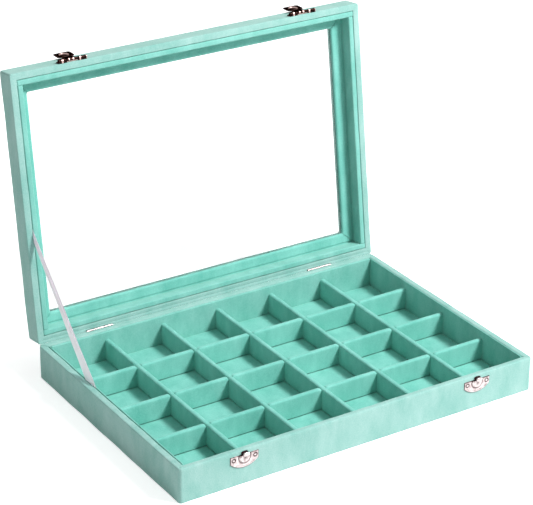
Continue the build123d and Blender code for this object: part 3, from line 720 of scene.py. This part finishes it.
def pressed_relief(edge, nail):
    """How far a half moon's face stands out. It rises from the sheet's edge as the square root
    of the distance, to the full thickness 0.4 mm in, and a bead runs round 1.5 mm in, but not
    within 1.6 mm of a nail."""
    rounded = (sheet_thick - sheet_edge) * np.sqrt(np.clip(edge / 0.0004, 0, 1))
    bead = bead_high * ring(edge, bead_in, bead_wide) * np.clip((nail - 0.0016) / 0.001, 0, 1)
    return sheet_edge + rounded + bead


def pressed_sheet(front, back, painted_light_and_wear, keep):
    """A sheet between two grids of points. Only the kept quads are laid, on both faces, and a
    wall closes every edge with a kept quad on one side only. Unused points are dropped."""
    count = painted_light_and_wear.size
    a, b, c, d = grid_corners(painted_light_and_wear.shape)
    quads = np.stack([a, b, c, d], axis=-1)[keep]
    padded = np.pad(keep, 1)
    walls = []
    for beside, start, end in ((padded[1:-1, :-2], a, b), (padded[2:, 1:-1], b, c),
                               (padded[1:-1, 2:], c, d), (padded[:-2, 1:-1], d, a)):
        start, end = start[keep & ~beside], end[keep & ~beside]
        walls.append(np.stack([end, start, start + count, end + count], axis=-1))
    faces = np.concatenate([quads, quads[:, ::-1] + count] + walls)
    used, faces = np.unique(faces, return_inverse=True)
    faces = faces.reshape(-1, 4)
    points = np.concatenate([front.reshape(-1, 3), back.reshape(-1, 3)])[used]
    p, q, r, s = (points[faces[:, i]] - points.mean(axis=0) for i in range(4))
    if np.sum(np.cross(r - p, s - q) * (p + q + r + s)) < 0:
        faces = faces[:, ::-1]
    return points, faces.tolist(), np.tile(painted_light_and_wear.ravel(), 2)[used]


def bar(centre, along, sections, offsets, painted_light_and_wear):
    """Rings set one after another along a straight way. Each ring is a flat outline."""
    points = np.asarray(centre) + offsets[:, None, None] * along + sections
    shade = painted_light_and_wear[:, None] + np.zeros(sections.shape[:2])
    return points, tube_faces(points), shade.ravel()


def add_metal(name, groups, finish, body, node):
    """Adds a piece of metal and writes on it how much painted light and wear each point takes."""
    piece = add_piece(name, [group[:2] for group in groups], finish, body, [node])
    shade = piece.data.attributes.new("painted_light_and_wear", "FLOAT", "POINT")
    shade.data.foreach_set("value", np.clip(np.concatenate([g[2] for g in groups]), 0, 1))


# The knob stands on its neck: rings of these sizes, so far out from the wall. They carry this much
# painted shadow, full at the knob's foot and none on its head. Each is a squared oval, the cosine
# and sine of the turn to the power 0.62.
knob_out = np.array([0.0002, 0.0017, 0.0021, 0.0026, 0.0031, 0.0036, 0.0040, 0.0043, 0.0044])
knob_size = np.array([1.0, 0.98, 0.88, 0.84, 0.90, 0.99, 1.0, 0.90, 0.70])
knob_shade = np.array([1.0, 1.0, 1.0, 0.9, 0.35, 0.0, 0.0, 0.0, 0.0])
turn = np.linspace(0, 2 * np.pi, 33)[:-1]
knob_across = 0.0030 * np.sign(np.cos(turn)) * np.abs(np.cos(turn)) ** 0.62
knob_up = 0.0015 * np.sign(np.sin(turn)) * np.abs(np.sin(turn)) ** 0.62
knob_rings = knob_size[:, None, None] * np.stack([knob_across, 0 * turn, knob_up], axis=-1)

# The boss rises on a smooth step, with a lip on it and a groove round it. Dark painted marks lie
# along the edge, as a painted dark reflection of the bevel. They also lie in the groove and round
# the nails, as painted shade with a little tarnish, and at the knob's foot, as the knob's painted
# shadow.
across, down, edge = half_moon(catch_half, catch_end, catch_tall, 0.0004)
boss = np.hypot(across, down - boss_drop)
nail = np.hypot(np.abs(across) - nail_side, down - catch_nail_drop)
lift = np.clip((boss_radius - boss) / boss_slope, 0, 1)
out = pressed_relief(edge, nail) + boss_high * lift ** 2 * (3 - 2 * lift)
out = out + boss_ring_high * ring(boss, lip_radius, 0.0005)
out = out - boss_ring_high * ring(boss, groove_radius, 0.0004)
painted_light_and_wear = (0.95 * ring(edge, 0.0, 0.0006) + 0.9 * ring(boss, 0.0055, 0.0006)
          + 1.3 * ring(nail, 0.0014, 0.0007) + 0.8 * ring(boss, 0.0, 0.0018))
whole = np.ones(np.array(out.shape) - 1, bool)
for side, place in clasp_places:
    front = np.stack([place + across, -case_half_depth - out, catch_top - down], axis=-1)
    back = np.stack([place + across, -case_half_depth + 0 * out, catch_top - down], axis=-1)
    plate = pressed_sheet(front, back, painted_light_and_wear, whole)
    knob = bar((place, -case_half_depth, catch_top + knob_rise), np.array([0, -1, 0]),
               knob_rings, knob_out, knob_shade)
    add_metal("nickel_" + side + "_catch", [plate, knob], nickel, "tray",
              side + "_catch_plate")

# The clasp plates: dark brown half moons of pressed sheet on the lid's front side. Their
# near-black brown is partly the plate's own colour and partly painted dark reflection, which the
# white room doesn't give. The sheet's straight edge rolls out into two barrels on the pin, with a
# gap between them for the hasp. Bright bands on the barrels and bright marks on the bead and round
# the nails are painted highlights, with some wear.
painted_dark_plate = plated_finish("dark_plate_and_painted_reflection", (0.030, 0.013, 0.011), (0.002, 0.0015, 0.0015),
                           (0.62, 0.44, 0.41), 0.3)
painted_dark_plate.node_tree.nodes["Principled BSDF"].inputs["Specular Tint"].default_value = (
    0.12, 0.08, 0.07, 1)
give_finish(painted_dark_plate, ["clasp_nails", "left_clasp_pin", "right_clasp_pin"])
clasp_half, clasp_end, clasp_tall, knuckle = 0.0135, 0.0055, 0.012, 0.0055
plate_low, clasp_nail_up = 0.0003, 0.0065
axis_up, axis_out, barrel = 0.0016, 0.00205, 0.0013
turn = np.radians(np.arange(-90, 181, 15))
rolled = barrel * np.stack([np.cos(turn), np.sin(turn)], axis=1)
rolled = np.concatenate([[[-axis_out, -barrel]], rolled, [[-axis_out, 0]]])
rolled = -rolled[:, :1] * lid_back + rolled[:, 1:] * lid_out


def painted_glints_and_wear(offsets):
    """Bright bands of painted highlight on the barrel, with some wear: two crossed waves along
    the pin, less 1, cut off to between 0 and 1 with the soft shoulders of a tanh."""
    return 0.5 + 0.5 * np.tanh(6 * (np.sin(offsets * 1900 + 0.8) + np.sin(offsets * 1140) - 1.0))


def pin_middle(place):
    """The middle of the pin of the clasp at that place."""
    return in_lid(place, -case_half_depth - axis_out, axis_up)


def rolled_barrel(place, outline, offsets):
    """A barrel's outline carried along the pin, with the last rings at both ends drawn in."""
    narrow = 1 - drawn_in(len(offsets), 0.12, 0.03)
    return bar(pin_middle(place), lid_across, narrow[:, None, None] * outline, offsets,
               painted_glints_and_wear(offsets))


# The column of points nearest to each end of the gap is moved onto it.
across, up, edge = half_moon(clasp_half, clasp_end, clasp_tall, barrel)
across = np.where(np.abs(np.abs(across) - knuckle) < 0.00014, np.sign(across) * knuckle, across)
nail = np.hypot(np.abs(across) - nail_side, up + plate_low - clasp_nail_up)
out = pressed_relief(edge, nail)
painted_light_and_wear = 0.9 * ring(edge, bead_in, 0.0005) + 0.5 * ring(nail, 0.0018, 0.0004)
middle = (across[:-1, :-1] + across[1:, 1:]) / 2
notched = (np.abs(middle) < knuckle) & (up[:-1, 1:] < barrel + 0.00001)
offsets = np.linspace(knuckle, clasp_half - 0.00005, 40)
for side, place in clasp_places:
    front = in_lid(place + across, -case_half_depth - out, plate_low + up)
    back = in_lid(place + across, -case_half_depth + 0 * out, plate_low + up)
    groups = [pressed_sheet(front, back, painted_light_and_wear, ~notched)]
    groups += [rolled_barrel(place, rolled, end * offsets) for end in (-1, 1)]
    add_metal("dark_" + side + "_clasp_plate", groups, painted_dark_plate, "lid",
              side + "_clasp_plate")

# The hasps: dark brown tongues of pressed sheet, with the same painted dark reflection, folded
# back over the lid. Each has a rolled barrel on the clasp's pin, a window for the knob, and a
# hollow dome pressed in its wide end.
lean = np.radians(6.44)
leaf_way = lid_out * np.cos(lean) - lid_back * np.sin(lean)
leaf_inner = np.cross(lid_across, leaf_way)
neck, wide, shoulder, length, leaf_corner = 0.0052, 0.0079, 0.010, 0.021, 0.002
window_x, window_low, window_high = 0.0034, 0.0025, 0.0063
dome_y, dome_radius, dome_depth = 0.0152, 0.0044, 0.0022
round_dome, round_dome_deep = 0.0048, 0.00015


def stops_through(marks, counts):
    """Stops spread evenly from each mark to the next, so many to each stretch, ends included."""
    stretches = [np.linspace(*stretch)[1:] for stretch in zip(marks, marks[1:], counts)]
    return np.concatenate([marks[:1]] + stretches)


# The wide end's corners are quarter circles. Points between the neck's sides and the outline
# are drawn in with the outline, but keep at least 0.3 of their distance from the neck.
half_columns = stops_through((0, window_x, neck, wide), (13, 7, 10))
columns = np.concatenate([-half_columns[:0:-1], half_columns])
rows = stops_through((0, window_low, window_high, shoulder, length), (7, 9, 9, 45))
across, along = np.meshgrid(columns, rows, indexing="ij")
in_head = along > shoulder - 0.00001
into_corner = (np.clip(along - length + leaf_corner, 0, leaf_corner)
               + np.clip(shoulder + leaf_corner - along, 0, leaf_corner) * in_head)
half = wide - leaf_corner + np.sqrt(leaf_corner ** 2 - into_corner ** 2)
drawn = np.maximum(np.abs(across) * (half / wide), neck + 0.3 * (np.abs(across) - neck))
across = np.where(in_head & (np.abs(across) > neck), np.sign(across) * drawn, across)

# The dome is a cap, the 0.8th power of 1 less the squared share of its radius, with a shallow
# ring pressed back round it. Painted highlights lie just inside the leaf's edge, at the dome's
# foot and on its top.
from_dome = np.hypot(across, along - dome_y)
cap = np.clip(1 - (from_dome / dome_radius) ** 2, 0, 1) ** 0.8
press = dome_depth * cap - round_dome_deep * ring(from_dome, round_dome, 0.0003)
head_edge = np.minimum(np.minimum(half - np.abs(across), length - along),
                       along - shoulder + 0.0005)
edge = np.where(in_head, head_edge, neck - np.abs(across))
painted_light_and_wear = (0.4 * ring(edge, 0.0007, 0.0003) + 0.9 * ring(from_dome, 0.0040, 0.0004)
          + 0.6 * ring(from_dome, 0.0, 0.0012))
low, high = -barrel - press, -barrel + sheet_thick - press
middle_x = np.abs(columns[:-1] + columns[1:])[:, None] / 2
middle_y = (rows[:-1] + rows[1:])[None] / 2
in_window = (middle_x < window_x) & (middle_y > window_low) & (middle_y < window_high)
keep = ((middle_x < neck) | (middle_y > shoulder)) & ~in_window
turn = np.linspace(0, 2 * np.pi, 25)[:-1]
circle = barrel * (np.cos(turn)[:, None] * leaf_way + np.sin(turn)[:, None] * leaf_inner)
for side, place in clasp_places:
    flat = pin_middle(place) + across[..., None] * lid_across + along[..., None] * leaf_way
    leaf = pressed_sheet(flat + high[..., None] * leaf_inner, flat + low[..., None] * leaf_inner,
                         painted_light_and_wear, keep)
    roll = rolled_barrel(place, circle, np.linspace(-neck, neck, 61))
    add_metal("dark_" + side + "_hasp", [leaf, roll], painted_dark_plate, side + "_hasp",
              side + "_hasp_leaf")

# The floor: a large sheet of matt white paper under the tray. It glows just enough to show
# white to the camera and in gloss and glass, and it keeps the tray's soft shadow.
floor_half = 6.0
floor_glow = 0.62
floor_corners = [(-1, -1), (1, -1), (1, 1), (-1, 1)]
floor_mesh = bpy.data.meshes.new("white_sheet")
floor_mesh.from_pydata([(floor_half * x, floor_half * y, 0) for x, y in floor_corners], [],
                       [(0, 1, 2, 3)])
floor = bpy.data.objects.new("white_sheet", floor_mesh)
bpy.context.scene.collection.objects.link(floor)


def seen_itself(tree):
    """1 for rays from the camera, off gloss or through glass, and 0 for rays that only carry
    light to the tray: the greatest of the three ray kinds."""
    rays = tree.nodes.new("ShaderNodeLightPath")
    seen = rays.outputs["Is Camera Ray"]
    for kind in ("Is Glossy Ray", "Is Transmission Ray"):
        greater = tree.nodes.new("ShaderNodeMath")
        greater.operation = "MAXIMUM"
        tree.links.new(seen, greater.inputs[0])
        tree.links.new(rays.outputs[kind], greater.inputs[1])
        seen = greater.outputs["Value"]
    return seen


paper, tree, shader = new_finish("white_sheet")
shader.inputs["Base Color"].default_value = (0.9, 0.9, 0.9, 1)
shader.inputs["Roughness"].default_value = 0.9
shader.inputs["Emission Color"].default_value = (1, 1, 1, 1)
glow = tree.nodes.new("ShaderNodeMath")
glow.operation = "MULTIPLY"
glow.inputs[1].default_value = floor_glow
tree.links.new(seen_itself(tree), glow.inputs[0])
tree.links.new(glow.outputs["Value"], shader.inputs["Emission Strength"])
floor_mesh.materials.append(paper)

# The light: a white room, which lights the tray softly from all round and is full white where
# it is seen itself, and one soft lamp, half a metre wide, high at the right and in front.
room_light, room_seen = 0.4, 1.0
lamp_power, lamp_size = 65, 0.5
lamp_place, lamp_target = Vector((0.95, -1.15, 1.75)), Vector((0, 0, 0.05))
world = bpy.data.worlds.new("white_room")
bpy.context.scene.world = world
world.use_nodes = True
tree = world.node_tree
background = tree.nodes["Background"]
background.inputs["Color"].default_value = (1, 1, 1, 1)
strength = tree.nodes.new("ShaderNodeMapRange")
strength.inputs["To Min"].default_value = room_light
strength.inputs["To Max"].default_value = room_seen
tree.links.new(seen_itself(tree), strength.inputs["Value"])
tree.links.new(strength.outputs["Result"], background.inputs["Strength"])
lamp_data = bpy.data.lights.new("soft_lamp", "AREA")
lamp_data.energy = lamp_power
lamp_data.size = lamp_size
lamp = bpy.data.objects.new("soft_lamp", lamp_data)
bpy.context.scene.collection.objects.link(lamp)
lamp.matrix_world = aimed(lamp_place, lamp_target - lamp_place)
